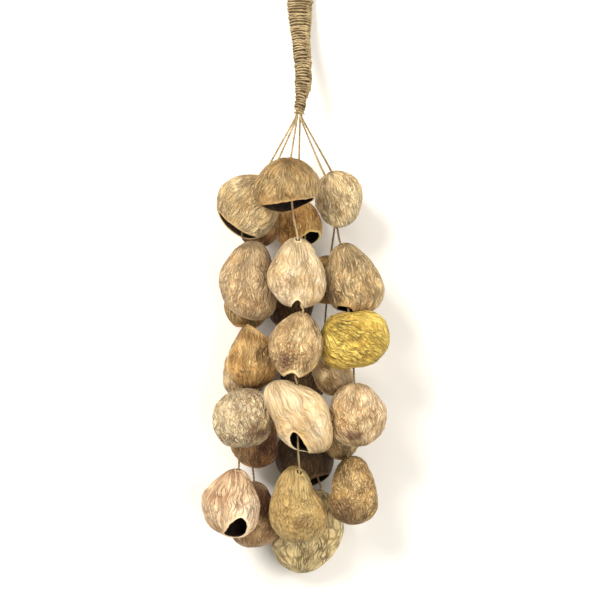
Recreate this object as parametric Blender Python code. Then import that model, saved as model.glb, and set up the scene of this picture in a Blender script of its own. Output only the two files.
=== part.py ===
"""A pangi seed shell rattle, laid down on a table.

Twenty-nine hollow seed shells hang on six strings. The six strings are three cords, each doubled over
at its middle. The three doubled middles lie side by side in a carrying loop, wound with twine, and the
winding goes on below the loop as a neck round all six strings. Each shell is held by a knot under the
small hole that its string comes in by, and the string leaves through the wide cut mouth.

Metres, +Z up. The strings run along Y with the loop at +Y. The shells lie in layers on the plane z = 0.
The origin is under the middle of the whole thing, on that plane.
"""

import math
from collections import namedtuple

import bpy
import numpy as np
from mathutils import Vector
from mathutils.bvhtree import BVHTree

MM = 0.001

# The middle of the whole thing in the plan, in mm: the sizes below are about the middle of the shells
MIDDLE = (-3.9, 56.9)

# Shell walls and openings, in mm
WALL = 2.3
HOLE_RADIUS = 1.9
PILLOW = 2.2
NET_HEIGHT = 0.45

# Faces of a shell: segments round the string, and rings along it outside and inside
SEGMENTS = 12
OUTER_RINGS = 10
INNER_RINGS = 4
FINE_SEGMENTS = 30
FINE_RINGS = 18

# Laying the shells down, in mm
LAY_GAP = 0.3
SKIN_MARGIN = 0.75
DROP_FROM = 300.0

# Cords and knots, in mm
CORD_RADIUS = 0.8
KNOT_RADIUS = 2.3
KNOT_HALF_LENGTH = 1.9
KNOT_DEPTH = 4.0
OUTSIDE = 3.0
LEAVING_SHARE = 0.65

# The winding, in mm: the middle of the neck from its foot up, and its half-width and half-depth there
NECK = [((-0.7, 140, 40), 4.5, 4.5), ((0.9, 153, 35.6), 4.8, 4.6), ((2.0, 163, 32), 6.1, 5.2),
        ((1.8, 176, 26.5), 6.1, 5.3), ((0.8, 190, 19.5), 6.4, 5.3), ((0, 205, 12.2), 7.7, 5.2),
        ((-0.6, 219, 7.2), 9.2, 4.9), ((-0.8, 232, 4.8), 9.6, 4.6)]
NECK_STEPS = 12
CORE_STEPS = 6
# The middle of the loop's right half, from where it leaves the neck's core to the loop's top
LOOP = [(1.2, 190), (3.0, 205), (4.7, 219), (5.6, 232), (10, 243), (18, 255), (25.5, 269), (28.5, 284),
        (25.5, 299), (15.5, 310.5), (0, 315)]
LOOP_STEPS = 3
# How much of the legs' line is left out at each end, where it runs inside the neck
IN_NECK = 9
LOOP_LIFT = 4.45
LEG_STEPS = 2
LEG_RADIUS = 4.6
LEG_BORE = 2.9
NECK_BORE = 3.5
NECK_BORE_TOP = 214.0
TURN_PITCH = 7.0
TURN_DEPTH = 0.5
WINDING_SIDES = 10
BORE_SIDES = 8

# Edges that bend more than this are drawn sharp, in degrees
SHARP_ANGLE = 60

# Row of one shell, sizes in mm and angles in degrees.
#   centre: its middle in the plan
#   tip:    the way its pointed end faces, from +X towards +Y
#   reach:  how far it reaches from the middle, at the tip and then every 45 degrees
#   depth:  half its thickness above and below the middle
#   hole:   where the string's small hole is: plan angle, lift above the plan
#   mouth:  plan angle, lift, half-angle in the plan, half-angle across it, roll
#   ridge:  the keel of its upper side: plan angle of its normal, offset, fall beyond it
Shell = namedtuple("Shell", "name centre tip reach depth hole mouth ridge")

SMOOTH = (0, 0, 0)

CENTRE = [
    Shell("shell_centre_1", (-10.5, 82.5), 90, (24, 23, 25, 23, 19, 18, 25, 25), (16, 15),
          (82, 8), (277, 20, 66, 40, 6), SMOOTH),
    Shell("shell_centre_2", (-3, 18), 90, (29.3, 21.8, 22.5, 22.8, 24, 26, 21.8, 22.3), (16, 15),
          (88, 14), (272, 2, 12, 30, 0), SMOOTH),
    Shell("shell_centre_3", (-3, -33), 75, (24.8, 20.6, 20.6, 22, 25.9, 22.9, 20.6, 20.6), (17, 16),
          (78, 10), (262, 2, 13, 24, 0), (10, 3, 0.25)),
    Shell("shell_centre_4", (0, -90), 135, (36, 20.6, 21.2, 23.5, 30, 22.5, 24, 26.3), (16, 15),
          (96, 8), (263, 28, 34, 15, -62), SMOOTH),
    Shell("shell_centre_5", (-1.5, -157.5), 95, (33.4, 23.6, 21.8, 24.4, 25.1, 25.5, 20.6, 18.8), (16, 15),
          (88, 16), (270, -48, 24, 18, 0), SMOOTH),
]
LEFT = [
    Shell("shell_left_1", (-38.2, 69), 50, (25, 24.4, 25.5, 23.6, 22.6, 24, 22.5, 22.5), (16, 15),
          (66, -6), (236, 11, 48, 19, 0), SMOOTH),
    Shell("shell_left_2", (-38.2, 12.8), 80, (31.5, 24.8, 22.5, 22.9, 27, 29, 20.3, 21.8), (17, 15),
          (82, -24), (252, -16, 30, 24, 0), (2, 5, 0.55)),
    Shell("shell_left_3", (-36.8, -43.5), 90, (26.3, 18, 18, 21.8, 23.6, 23, 18.8, 21), (16, 15),
          (266, -40), (66, -2, 28, 24, 0), (4, 4, 0.3)),
    Shell("shell_left_4", (-42.8, -87.8), 90, (21.4, 20.7, 22.1, 23.3, 22.1, 23.3, 21.8, 22.5), (17, 15),
          (86, -40), (258, -38, 26, 22, 0), SMOOTH),
    Shell("shell_left_5", (-51.8, -152.2), 75, (26.3, 21.8, 22.5, 23.3, 25, 27, 22.1, 20.6), (16, 15),
          (78, 8), (283, 28, 29, 18, 48), (5, 15, 0.5)),
]
RIGHT = [
    Shell("shell_right_1", (30, 75.8), 125, (21, 17.6, 18, 21, 18.8, 16.1, 18, 19.9), (16, 15),
          (122, 4), (262, -28, 26, 22, 0), (190, 9, 0.5)),
    Shell("shell_right_2", (40.5, 14.2), 110, (29.6, 22.5, 22.3, 25.5, 26.3, 24, 19, 20.6), (17, 15),
          (110, 6), (253, 8, 19, 22, 0), SMOOTH),
    Shell("shell_right_3", (40.5, -30), 180, (25.5, 27, 20.3, 22.8, 26.3, 27, 20.6, 24.4), (16, 14),
          (100, -16), (268, -44, 28, 20, 0), SMOOTH),
    Shell("shell_right_4", (43.5, -87), 90, (24.4, 24.4, 21.4, 24.8, 23.3, 22.3, 21.8, 21.8), (16, 15),
          (96, 2), (262, -40, 26, 22, 0), (180, 8, 0.5)),
    Shell("shell_right_5", (40.5, -143.2), 90, (26.6, 20.3, 17.3, 24.4, 25.5, 23.3, 16.9, 19.1), (17, 16),
          (100, 8), (276, -44, 28, 22, 0), SMOOTH),
]
CENTRE_BACK = [
    Shell("shell_centre_back_1", (-0.5, 59.2), 100, (19, 19, 19, 22, 20, 20, 16, 16), (15, 14),
          (92, 4), (302, 28, 26, 24, 0), SMOOTH),
    Shell("shell_centre_back_2", (-7.5, -2.2), 90, (22, 19, 18, 19, 21, 19, 18, 19), (15, 14),
          (80, 4), (272, 4, 28, 22, 0), SMOOTH),
    Shell("shell_centre_back_3", (2.2, -60), 90, (21, 19, 17, 19, 21, 19, 17, 19), (15, 14),
          (96, 4), (272, 4, 26, 20, 0), SMOOTH),
    Shell("shell_centre_back_4", (3, -117.8), 90, (21, 22.5, 22.5, 23, 24, 24, 22.5, 21), (15, 14),
          (90, 4), (292, 10, 36, 20, 0), SMOOTH),
    Shell("shell_centre_back_5", (6, -176.2), 72, (33.8, 27, 25.5, 29.6, 31.5, 26.6, 25.5, 30), (16, 14),
          (74, 4), (250, -46, 26, 18, 0), SMOOTH),
]
LEFT_BACK = [
    Shell("shell_left_back_1", (-31, 57), 90, (18, 17, 15, 17, 17.5, 17, 15, 17), (14, 13),
          (84, 0), (262, -6, 28, 22, 0), SMOOTH),
    Shell("shell_left_back_2", (-40, -2), 90, (22, 18, 17, 19, 21, 19, 17, 18), (14, 13),
          (84, 0), (268, 0, 26, 20, 0), SMOOTH),
    Shell("shell_left_back_3", (-40.5, -54), 90, (20, 19, 17.5, 21.5, 21, 18, 16, 18), (14, 13),
          (90, 0), (276, 0, 26, 20, 0), SMOOTH),
    Shell("shell_left_back_4", (-35.2, -105), 90, (22.5, 21, 18, 19, 21.8, 22.5, 18, 21), (15, 13),
          (98, 0), (262, -10, 24, 20, 0), SMOOTH),
    Shell("shell_left_back_5", (-33.8, -162.8), 90, (26.3, 19.5, 18, 24, 24, 22.9, 15, 18.4), (14, 13),
          (92, 0), (262, -30, 24, 20, 0), SMOOTH),
]
RIGHT_BACK = [
    Shell("shell_right_back_1", (29.5, 74), 90, (17, 16, 14.5, 16, 17.5, 16, 14.5, 16), (14, 13),
          (100, 4), (260, 0, 28, 20, 0), SMOOTH),
    Shell("shell_right_back_2", (21, 14.2), 90, (19.5, 18, 16, 17, 19, 17, 16, 18), (14, 13),
          (84, 0), (268, 0, 26, 20, 0), SMOOTH),
    Shell("shell_right_back_3", (24, -54), 110, (22, 17, 14.5, 17, 21, 18, 14.5, 16), (15, 13),
          (104, 0), (272, 0, 28, 20, 0), SMOOTH),
    Shell("shell_right_back_4", (30, -99.8), 90, (20, 17, 14, 17, 21, 18, 14.5, 16), (14, 13),
          (98, 0), (262, -10, 28, 20, 0), SMOOTH),
]
# The order in which the strings of shells were laid down
LAID = [CENTRE_BACK, LEFT_BACK, RIGHT_BACK, LEFT, RIGHT, CENTRE]

# Each cord: the string on its left, the string on its right, and its place in the bundle, outwards
# from the middle and upwards in mm, in a leg of the loop and in the neck
Cord = namedtuple("Cord", "name left right in_leg in_neck")
CORDS = [
    Cord("cord_middle", LEFT, RIGHT_BACK, (1.2, 0), (2.06, 0)),
    Cord("cord_upper", CENTRE, RIGHT, (-0.6, 1.04), (1.03, 1.78)),
    Cord("cord_lower", LEFT_BACK, CENTRE_BACK, (-0.6, -1.04), (1.03, -1.78)),
]
# The shell that hangs mouth upwards, with its knot below the hole that the string leaves by
UPSIDE_DOWN = [LEFT[2]]


def direction(plan, lift):
    """The unit vector at a plan angle and a lift above the plan, in degrees."""
    a, b = math.radians(plan), math.radians(lift)
    return np.array([math.cos(a) * math.cos(b), math.sin(a) * math.cos(b), math.sin(b)])


def turned(points, axis, angles):
    """Points turned about an axis through the origin, each by its own angle."""
    c, s = np.cos(angles)[..., None], np.sin(angles)[..., None]
    along = (points @ axis)[..., None] * axis
    return points * c + np.cross(axis, points) * s + along * (1 - c)


def smoothstep(x):
    x = np.clip(x, 0, 1)
    return x * x * (3 - 2 * x)


def reach_at(shell, plan):
    """The outline's reach at these plan angles in radians: a closed cubic through its eight values."""
    step = (plan - math.radians(shell.tip)) / (math.pi / 4)
    at = np.floor(step).astype(int)
    t = step - at
    p = [np.take(shell.reach, (at + k) % 8) for k in (-1, 0, 1, 2)]
    return p[1] + 0.5 * t * (
        p[2] - p[0] + t * (2 * p[0] - 5 * p[1] + 4 * p[2] - p[3] + t * (3 * (p[1] - p[2]) + p[3] - p[0]))
    )


def surface(shell, ways, inset=0.0):
    """Points of the shell's surface in these directions from its middle, inset by a wall, in mm."""
    flat = np.hypot(ways[..., 0], ways[..., 1])
    plan = np.arctan2(ways[..., 1], ways[..., 0])
    depth = np.where(ways[..., 2] > 0, *shell.depth)
    far = ((flat / reach_at(shell, plan)) ** PILLOW + (abs(ways[..., 2]) / depth) ** PILLOW) ** (-1 / PILLOW)
    points = ways * (far - inset)[..., None]
    normal, offset, fall = shell.ridge
    beyond = np.clip(points @ direction(normal, 0) - offset, 0, None) / np.mean(shell.reach)
    points[..., 2] *= np.where(points[..., 2] > 0, 1 - fall * beyond, 1)
    return points


def ring_ways(shell, segments, shares):
    """Directions on rings from the hole to the mouth, at these shares of the way."""
    hole, mouth = direction(*shell.hole), direction(*shell.mouth[:2])
    axis = np.cross(-hole, mouth)
    bend = math.atan2(np.linalg.norm(axis), float(-hole @ mouth))
    axis = axis / max(np.linalg.norm(axis), 1e-9)
    level = np.cross((0, 0, 1), mouth)
    level = level / np.linalg.norm(level)
    upright = np.cross(mouth, level)
    u, v = turned(np.array([level, upright]), axis, np.full(2, -bend))
    round_ = np.arange(segments) * 2 * math.pi / segments
    along, across, roll = (math.radians(x) for x in shell.mouth[2:])
    wide = along * across / np.hypot(across * np.cos(round_ - roll), along * np.sin(round_ - roll))
    start = HOLE_RADIUS / float(np.linalg.norm(surface(shell, hole[None])))
    polar = start + np.asarray(shares)[:, None] * (math.pi - wide - start)[None]
    ways = np.cos(polar)[..., None] * hole + np.sin(polar)[..., None] * (
        np.cos(round_)[:, None] * u + np.sin(round_)[:, None] * v
    )
    return turned(ways, axis, bend * smoothstep(polar / math.pi))


def grid_faces(rings, segments):
    """Quads between so many rings of points."""
    faces = []
    for i in range(rings - 1):
        for j in range(segments):
            a, b, k = i * segments, (i + 1) * segments, (j + 1) % segments
            faces.append((a + j, a + k, b + k, b + j))
    return faces


def net_faces(rings, segments):
    """Triangles between rings whose every second point is raised, each split along its raised corners."""
    faces = []
    for at, (p, q, r, t) in enumerate(grid_faces(rings, segments)):
        i, j = divmod(at, segments)
        faces += [(p, q, r), (p, r, t)] if (i + j) % 2 == 0 else [(p, q, t), (q, r, t)]
    return faces


def shell_mesh(shell):
    """Points and faces of a hollow shell about its middle, in mm: the outside's raised net, and the inside."""
    ways = ring_ways(shell, SEGMENTS, np.linspace(0, 1, OUTER_RINGS))
    raised = np.indices((OUTER_RINGS, SEGMENTS)).sum(axis=0) % 2 == 0
    relief = np.where(raised, NET_HEIGHT, -NET_HEIGHT)
    relief[[0, -1]] = 0
    outer = surface(shell, ways) + ways * relief[..., None]
    inner = surface(shell, ring_ways(shell, SEGMENTS, np.linspace(1, 0, INNER_RINGS)), WALL)
    points = np.concatenate([outer.reshape(-1, 3), inner.reshape(-1, 3)])
    count = len(points)
    inside = grid_faces(INNER_RINGS + 2, SEGMENTS)
    start = (OUTER_RINGS - 1) * SEGMENTS
    inside = [tuple((start + corner) % count for corner in face) for face in inside]
    return points, net_faces(OUTER_RINGS, SEGMENTS) + inside


def lowest_face(points):
    """The corners of the outside's lowest quad, which becomes the flat spot that a shell rests on."""
    faces = grid_faces(OUTER_RINGS, SEGMENTS)
    return list(min(faces, key=lambda face: points[list(face), 2].mean()))


def skin_mesh(shell):
    """Points and faces of a shell's whole outside, its openings closed, for laying it down."""
    ways = ring_ways(shell, FINE_SEGMENTS, np.linspace(0, 1, FINE_RINGS))
    points = surface(shell, ways, -SKIN_MARGIN).reshape(-1, 3)
    last = (FINE_RINGS - 1) * FINE_SEGMENTS
    ends = [tuple(range(FINE_SEGMENTS)), tuple(range(last, last + FINE_SEGMENTS))]
    return points, grid_faces(FINE_RINGS, FINE_SEGMENTS) + ends


def drop_onto(points, faces, laid):
    """How far a skin can come straight down before it meets a laid one, or None where there is none below."""
    drops = []
    own = BVHTree.FromPolygons(points.tolist(), faces)
    low, high = points.min(axis=0), points.max(axis=0)
    for others, tree in laid:
        below = others[((others[:, :2] > low[:2]) & (others[:, :2] < high[:2])).all(axis=1)]
        drops += [own.ray_cast(Vector(p), Vector((0, 0, 1)))[3] for p in below]
        drops += [tree.ray_cast(Vector(p), Vector((0, 0, -1)))[3] for p in points]
    return min((d for d in drops if d is not None), default=None)


def heights_of_middles():
    """Each shell's height once it is let down onto the table and the shells that are already there, in mm."""
    heights, laid = {}, []
    for shell in (shell for string in LAID for shell in string):
        mesh_points = shell_mesh(shell)[0]
        on_table = -mesh_points[lowest_face(mesh_points), 2].mean()
        points, faces = skin_mesh(shell)
        points[:, :2] += shell.centre
        drop = drop_onto(points + (0, 0, DROP_FROM), faces, laid)
        heights[shell.name] = on_table if drop is None else max(on_table, DROP_FROM - drop + LAY_GAP)
        points[:, 2] += heights[shell.name]
        laid.append((points, BVHTree.FromPolygons(points.tolist(), faces)))
    return heights


def placed(shell, points, height):
    """A shell's points where it lies, with the flat spot and all that would be lower pressed onto the table."""
    points = points + (*shell.centre, height)
    spot = lowest_face(points)
    if abs(points[spot, 2].mean()) < 0.01:
        points[spot, 2] = 0
        points[:, 2] = np.clip(points[:, 2], 0, None)
    return points


def smooth_line(points, steps):
    """A Catmull-Rom curve through the points, with so many steps to each stretch."""
    p = np.array([2 * points[0] - points[1], *points, 2 * points[-1] - points[-2]])
    out = []
    for a, b, c, d in zip(p[:-3], p[1:-2], p[2:-1], p[3:]):
        t = (np.arange(steps) / steps)[:, None]
        out.append(b + 0.5 * t * (c - a + t * (2 * a - 5 * b + 4 * c - d + t * (3 * (b - c) + d - a))))
    return np.concatenate([*out, [points[-1]]])


def evenly(line, values, spacing):
    """Points along a line at about this spacing, each with the values that go with it there."""
    at = np.concatenate([[0], np.cumsum(np.linalg.norm(np.diff(line[:, :3], axis=0), axis=1))])
    where = np.linspace(0, at[-1], round(at[-1] / spacing) + 1)
    columns = np.column_stack([line, values])
    picked = np.column_stack([np.interp(where, at, column) for column in columns.T])
    return picked[:, : line.shape[1]], picked[:, line.shape[1]:]


def tube_mesh(line, radii, sides):
    """Points and faces of a closed tube along a line, with its half-width and half-height at each point."""
    along = np.gradient(line, axis=0)
    along /= np.linalg.norm(along, axis=1)[:, None]
    across = np.cross(along, (0, 0, 1.0))
    across /= np.linalg.norm(across, axis=1)[:, None]
    up = np.cross(along, across)
    a = np.arange(sides)[None, :, None] * 2 * math.pi / sides
    wide, high = radii[:, 0, None, None], radii[:, 1, None, None]
    rings = line[:, None] + wide * np.cos(a) * across[:, None] + high * np.sin(a) * up[:, None]
    last = (len(line) - 1) * sides
    ends = [tuple(reversed(range(sides))), tuple(range(last, last + sides))]
    return rings.reshape(-1, 3), grid_faces(len(line), sides) + ends


def neck_line():
    """The middle of the neck from the foot up, finely, with its half-width and half-depth."""
    fine = smooth_line(np.array([(*at, wide, deep) for at, wide, deep in NECK], float), NECK_STEPS)
    return fine[:, :3], fine[:, 3:]


def neck_at(y):
    """The middle of the neck at this distance along Y."""
    line = neck_line()[0]
    return np.array([np.interp(y, line[:, 1], line[:, 0]), y, np.interp(y, line[:, 1], line[:, 2])])


def leg_stations(side):
    """Points up the middle of one leg of the loop, from inside the neck to the loop's top, with the way out."""
    top = NECK[-1][0]
    points = []
    for x, y in LOOP:
        middle = neck_at(y) if y <= top[1] else np.array([top[0], y, LOOP_LIFT])
        points.append(middle + (side * x, 0, 0))
    line = smooth_line(np.array(points), LEG_STEPS)
    along = np.gradient(line, axis=0)
    along[-1] = (-side, 0, 0)
    outwards = np.cross(along, (0, 0, side))
    return line, outwards / np.linalg.norm(outwards, axis=1)[:, None]


def cord_in_winding(cord, side):
    """A cord's points up one side of the winding, from below the foot to the loop's top."""
    line, outwards = leg_stations(side)
    out_neck, up_neck = cord.in_neck
    out_leg, up_leg = cord.in_leg
    foot, above = neck_at(NECK[0][0][1]), neck_at(NECK[1][0][1])
    down = (foot - above) / np.linalg.norm(foot - above)
    points = [middle + (side * out_neck, 0, up_neck) for middle in
              [foot + down * OUTSIDE, *(neck_at(at[1]) for at, _, _ in NECK[:4])]]
    for middle, way in zip(line, outwards):
        share = smoothstep((middle[1] - LOOP[0][1]) / (NECK_BORE_TOP - LOOP[0][1]))
        in_neck = np.array([side * (out_neck - LOOP[0][0]), 0, up_neck])
        in_leg = way * out_leg + (0, 0, up_leg)
        points.append(middle + in_neck * (1 - share) + in_leg * share)
    return points


def through(shell, height, opening):
    """Points on a string's way in by an opening of a shell: outside it, and well inside."""
    way = direction(*opening)
    skin = np.array([*shell.centre, height]) + surface(shell, way[None])[0]
    return [skin + way * OUTSIDE, skin - way * (WALL + KNOT_DEPTH)]


def in_mouth(shell, height, target):
    """Where in its mouth a string leaves a shell: part of the way from the mouth's middle towards a point."""
    x, y, z = target - (*shell.centre, height)
    plan, lift, along, across, roll = shell.mouth
    turn = (math.degrees(math.atan2(y, x)) - plan + 180) % 360 - 180
    rise = math.degrees(math.atan2(z, math.hypot(x, y))) - lift
    c, s = math.cos(math.radians(roll)), math.sin(math.radians(roll))
    off = math.hypot((turn * c + rise * s) / along, (rise * c - turn * s) / across)
    share = min(1, LEAVING_SHARE / off)
    way = direction(plan + turn * share, lift + rise * share)
    return np.array([*shell.centre, height]) + surface(shell, way[None])[0]


def string_route(string, heights, start):
    """The points of a string from its first shell to its last, and which of them are knots."""
    route, knots = [], []
    came_from = start
    for shell, following in zip(string, [*string[1:], None]):
        height = heights[shell.name]
        hole = through(shell, height, shell.hole)
        if shell in UPSIDE_DOWN:
            below = hole[0] + direction(*shell.hole) * KNOT_HALF_LENGTH
            route += [in_mouth(shell, height, came_from), hole[1], below]
            knots.append(len(route) - 1)
        else:
            route += hole
            knots.append(len(route) - 1)
            if following:
                target = through(following, heights[following.name], following.hole)[0]
                route.append(in_mouth(shell, height, target))
        came_from = route[-1]
    return route, knots


def cord_points(cord, heights):
    """The points of a whole cord, up its left string and down its right, with its thickness at each."""
    up, down = cord_in_winding(cord, -1), cord_in_winding(cord, 1)[-2::-1]
    left, left_knots = string_route(cord.left, heights, up[0])
    right, right_knots = string_route(cord.right, heights, down[-1])
    route = np.array([*left[::-1], *up, *down, *right])
    knots = [len(left) - 1 - k for k in left_knots] + [len(route) - len(right) + k for k in right_knots]
    points, thickness = [], []
    for place, point in enumerate(route):
        if place in knots:
            before, after = route[max(place - 1, 0)], route[min(place + 1, len(route) - 1)]
            way = (after - before) / np.linalg.norm(after - before)
            points += [point - way * KNOT_HALF_LENGTH, point, point + way * KNOT_HALF_LENGTH]
            thickness += [1, KNOT_RADIUS / CORD_RADIUS, 1]
        else:
            points.append(point)
            thickness.append(1)
    return points, thickness


def in_metres(points):
    """Points in mm about the middle of the shells, in metres about the middle of the whole thing."""
    return (np.asarray(points) - (*MIDDLE, 0)) * MM


def add_object(name, data, material):
    data.materials.append(material)
    obj = bpy.data.objects.new(name, data)
    bpy.context.scene.collection.objects.link(obj)
    return obj


def add_mesh(name, points, faces, material):
    """A mesh object with round shading, from points in mm."""
    mesh = bpy.data.meshes.new(name)
    mesh.from_pydata(in_metres(points).tolist(), [], faces)
    mesh.shade_smooth()
    mesh.set_sharp_from_angle(angle=math.radians(SHARP_ANGLE))
    return add_object(name, mesh, material)


def add_cord(name, points, thickness, material):
    """A round cord along these points in mm, with its knots as thicker points."""
    curve = bpy.data.curves.new(name, "CURVE")
    curve.dimensions = "3D"
    curve.bevel_depth = CORD_RADIUS * MM
    curve.bevel_resolution = 2
    curve.use_fill_caps = True
    spline = curve.splines.new("POLY")
    spline.points.add(len(points) - 1)
    for point, place, share in zip(spline.points, in_metres(points), thickness):
        point.co = (*place, 1)
        point.radius = share
    return add_object(name, curve, material)


def turns(line, radii):
    """A winding's rings along a line, every second one standing out as a turn of the twine."""
    line, radii = evenly(line, radii, TURN_PITCH / 2)
    radii = radii - TURN_DEPTH * (np.arange(len(line)) % 2)[:, None]
    return tube_mesh(line, radii, WINDING_SIDES)


def add_winding(material):
    """The neck and the loop in one, hollow all the way for the cords and open at the neck's foot."""
    neck = add_mesh("winding", *turns(*neck_line()), material)
    right, left = leg_stations(1)[0], leg_stations(-1)[0]
    stations = np.array([*right, *left[-2::-1]])
    loop = smooth_line(stations, LOOP_STEPS)[IN_NECK:-IN_NECK]
    outside = turns(loop, np.full((len(loop), 2), LEG_RADIUS))
    line, _ = neck_line()
    down = (line[0] - line[1]) / np.linalg.norm(line[0] - line[1])
    core = np.array([line[0] + down * OUTSIDE, *(p for p in line[::CORE_STEPS] if p[1] < NECK_BORE_TOP)])
    cutters = [
        ("loop_outside", outside, "UNION"),
        ("neck_core", tube_mesh(core, np.full((len(core), 2), NECK_BORE), BORE_SIDES), "DIFFERENCE"),
        ("loop_core", tube_mesh(stations, np.full((len(stations), 2), LEG_BORE), BORE_SIDES), "DIFFERENCE"),
    ]
    for name, (points, faces), operation in cutters:
        cutter = add_mesh(name, points, faces, material)
        cutter.hide_render = True
        cutter.display_type = "WIRE"
        boolean = neck.modifiers.new(name, "BOOLEAN")
        boolean.object = cutter
        boolean.operation = operation


def make_material(name, colour, roughness):
    material = bpy.data.materials.new(name)
    material.use_nodes = True
    shader = material.node_tree.nodes["Principled BSDF"]
    shader.inputs["Base Color"].default_value = (*colour, 1)
    shader.inputs["Roughness"].default_value = roughness
    return material


def main():
    for obj in list(bpy.data.objects):
        bpy.data.objects.remove(obj)
    seed_shell = make_material("seed_shell", (0.55, 0.36, 0.17), 0.7)
    twine = make_material("plant_twine", (0.52, 0.40, 0.24), 0.85)
    heights = heights_of_middles()
    for shell in (shell for string in LAID for shell in string):
        points, faces = shell_mesh(shell)
        add_mesh(shell.name, placed(shell, points, heights[shell.name]), faces, seed_shell)
    for cord in CORDS:
        add_cord(cord.name, *cord_points(cord, heights), twine)
    add_winding(twine)


main()
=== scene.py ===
"""A pangi seed shell rattle: wrinkled, hollow seed shells knotted on strings below a wound twine handle.

Each shell is a dry seed coat with a small hole for its string and a wide cut mouth. Its form comes from a
few reaches round its middle, and its surface from fields and wrinkles that follow its grain. The strings
are two-ply twine with coiled knots, and the handle is twine wound turn by turn round the strings.
"""

import math
from collections import namedtuple

import bpy
import numpy as np
from bpy.props import FloatProperty, IntProperty, PointerProperty, StringProperty
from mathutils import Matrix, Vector


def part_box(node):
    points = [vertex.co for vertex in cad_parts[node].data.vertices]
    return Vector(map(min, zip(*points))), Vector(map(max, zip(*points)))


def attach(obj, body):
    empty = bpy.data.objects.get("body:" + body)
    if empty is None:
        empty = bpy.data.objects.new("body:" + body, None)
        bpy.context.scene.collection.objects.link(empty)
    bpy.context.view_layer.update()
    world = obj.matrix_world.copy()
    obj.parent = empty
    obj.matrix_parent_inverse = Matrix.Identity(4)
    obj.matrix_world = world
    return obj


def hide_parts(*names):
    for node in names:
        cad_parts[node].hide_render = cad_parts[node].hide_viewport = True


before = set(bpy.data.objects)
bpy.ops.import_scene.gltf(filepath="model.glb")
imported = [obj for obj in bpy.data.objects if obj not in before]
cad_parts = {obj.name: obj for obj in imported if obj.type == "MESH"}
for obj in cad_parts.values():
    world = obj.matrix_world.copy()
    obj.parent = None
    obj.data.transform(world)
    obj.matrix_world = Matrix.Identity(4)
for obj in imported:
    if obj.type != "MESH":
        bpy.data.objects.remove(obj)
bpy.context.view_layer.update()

bl_info = {
    "name": "Pangi Seed Shell Rattle",
    "version": (1, 0, 0),
    "blender": (4, 5, 0),
    "location": "View3D > Sidebar > Rattle",
    "description": "Builds a bunch of strung pangi seed shells with a wound twine handle",
    "category": "Add Mesh",
}

MM = 0.001
# The middle of the whole thing in the plan, in mm, from the middle of the shells
MIDDLE = (-3.9, 56.9)
PHOTO_PIXELS = 600
MM_PER_PIXEL = 0.75

# The shells as in the solids: wall and hole in mm, and the power that squares their form off
WALL = 2.3
HOLE_RADIUS = 1.9
PILLOW = 2.2
# How far a lip is pushed out to be round, in mm
LIP_BULGE = 0.35
INNER_RINGS = 12

# Strings, in mm. A knot lies so far below the wall, and a string runs straight so far outside an opening.
STRING_RADIUS = 0.8
KNOT_DEPTH = 4.0
KNOT_HALF_LENGTH = 1.9
KNOT_TURNS = 3
OUTSIDE = 3.0
# How far out from a mouth's middle its string may leave, as a share of the way to the lip
LEAVING_SHARE = 0.65

# The handle: points to a turn, steps to each stretch of the neck, and how many points of the loop's line
# the neck hides at each end. Its core starts so many steps up, so far inside the turns in mm, and is painted
# so dark, as shade between the turns.
TURN_POINTS = 36
NECK_STEPS = 12
HIDDEN_IN_NECK = 24
CORE_START = 4
CORE_INSET = 1.05
CORE_SHADE = 0.95

# The neck's middle from its foot up with its half-width and half-depth, and the loop's right half, in mm
NECK = [((-0.7, 140, 40), 4.5, 4.5), ((0.9, 153, 35.6), 4.8, 4.6), ((2.0, 163, 32), 6.1, 5.2),
        ((1.8, 176, 26.5), 6.1, 5.3), ((0.8, 190, 19.5), 6.4, 5.3), ((0, 205, 12.2), 7.7, 5.2),
        ((-0.6, 219, 7.2), 9.2, 4.9), ((-0.8, 232, 4.8), 9.6, 4.6)]
LOOP = [(1.2, 190), (3.0, 205), (4.7, 219), (5.6, 232), (10, 243), (18, 255), (25.5, 269), (28.5, 284),
        (25.5, 299), (15.5, 310.5), (0, 315)]
LOOP_LIFT = 4.45
LEG_RADIUS = 4.6
NECK_BORE_TOP = 214.0

# One shell, sizes in mm and angles in degrees.
#   centre: its middle in the plan
#   tip:    the way its pointed end faces, from +X towards +Y
#   reach:  how far it reaches from the middle, at the tip and then every 45 degrees
#   depth:  half its thickness above and below the middle
#   hole:   where the string's small hole is: plan angle, lift above the plan
#   mouth:  plan angle, lift, half-angle in the plan, half-angle across it, roll
#   ridge:  the keel of its upper side: plan angle of its normal, offset, fall beyond it
Shell = namedtuple("Shell", "name centre tip reach depth hole mouth ridge", defaults=((0, 0, 0),))


def shells_of(side, *rows):
    """The shells of one string from the top down, named by their side and number."""
    return [Shell(f"shell_{side}_{number}", *row) for number, row in enumerate(rows, 1)]


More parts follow.
